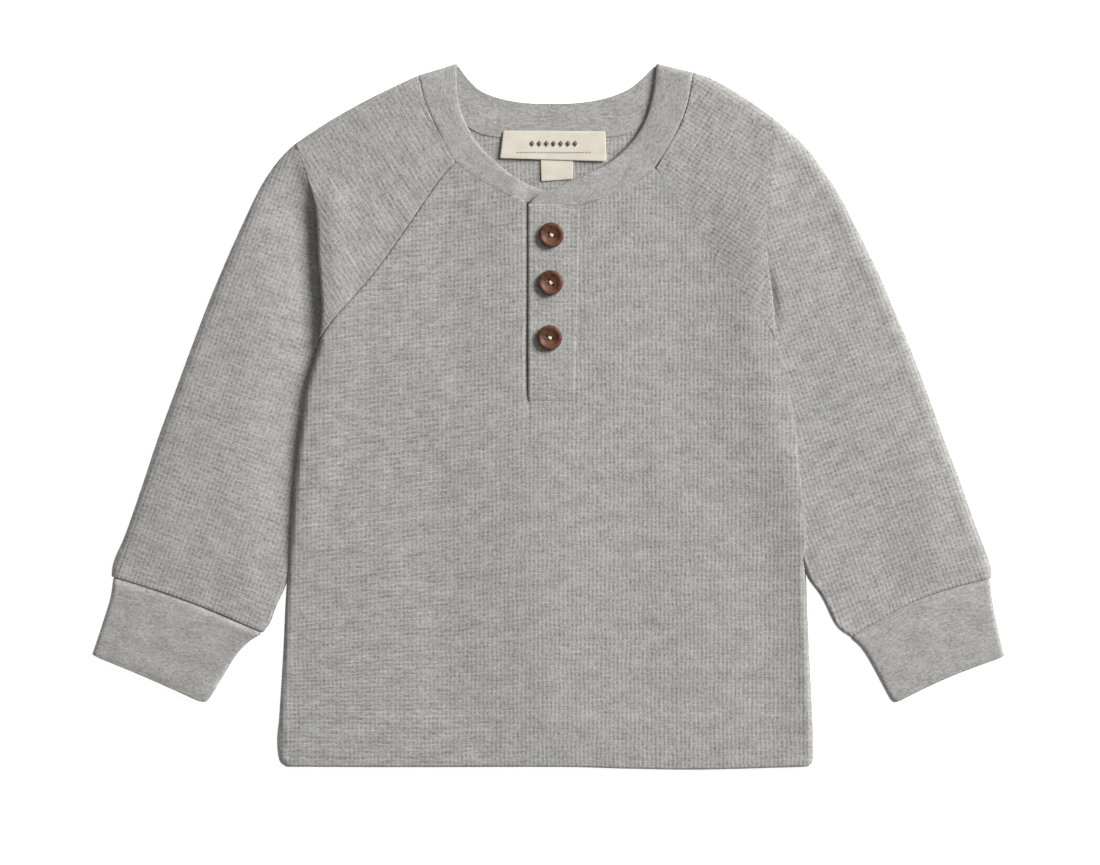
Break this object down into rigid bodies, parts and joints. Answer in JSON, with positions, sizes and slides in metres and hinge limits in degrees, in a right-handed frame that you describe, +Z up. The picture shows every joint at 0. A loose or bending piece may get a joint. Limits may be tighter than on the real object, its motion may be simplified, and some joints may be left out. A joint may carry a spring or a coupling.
{
  "type": "henley shirt",
  "caption": "Baby's long-sleeve raglan henley in waffle knit, laid flat, with a buttoned placket, jersey neckband and jersey cuffs.",
  "frame": {"origin": "middle of the flat shirt's bounding box in plan, on the surface that it lies on", "axes": "+X towards the wearer's left cuff, +Y from hem to collar, +Z up out of the front"},
  "size_m": [0.4568, 0.3533, 0.0093],
  "materials": {
    "waffle_knit": "matte waffle knit in grey heather cotton",
    "jersey": "matte fine jersey in grey heather cotton",
    "label_satin": "soft cream satin",
    "button_wood": "satin brown coconut"
  },
  "bodies": {
    "root": {"back_panel": "waffle_knit", "front_panel": "waffle_knit", "right_sleeve": "waffle_knit", "left_sleeve": "waffle_knit", "right_cuff": "jersey", "left_cuff": "jersey", "neckband": "jersey", "placket_overlap": "waffle_knit", "placket_underlap": "waffle_knit", "button_1": "button_wood", "button_2": "button_wood", "button_3": "button_wood", "neck_label": "label_satin", "size_tab": "label_satin"}
  },
  "joints": []
}
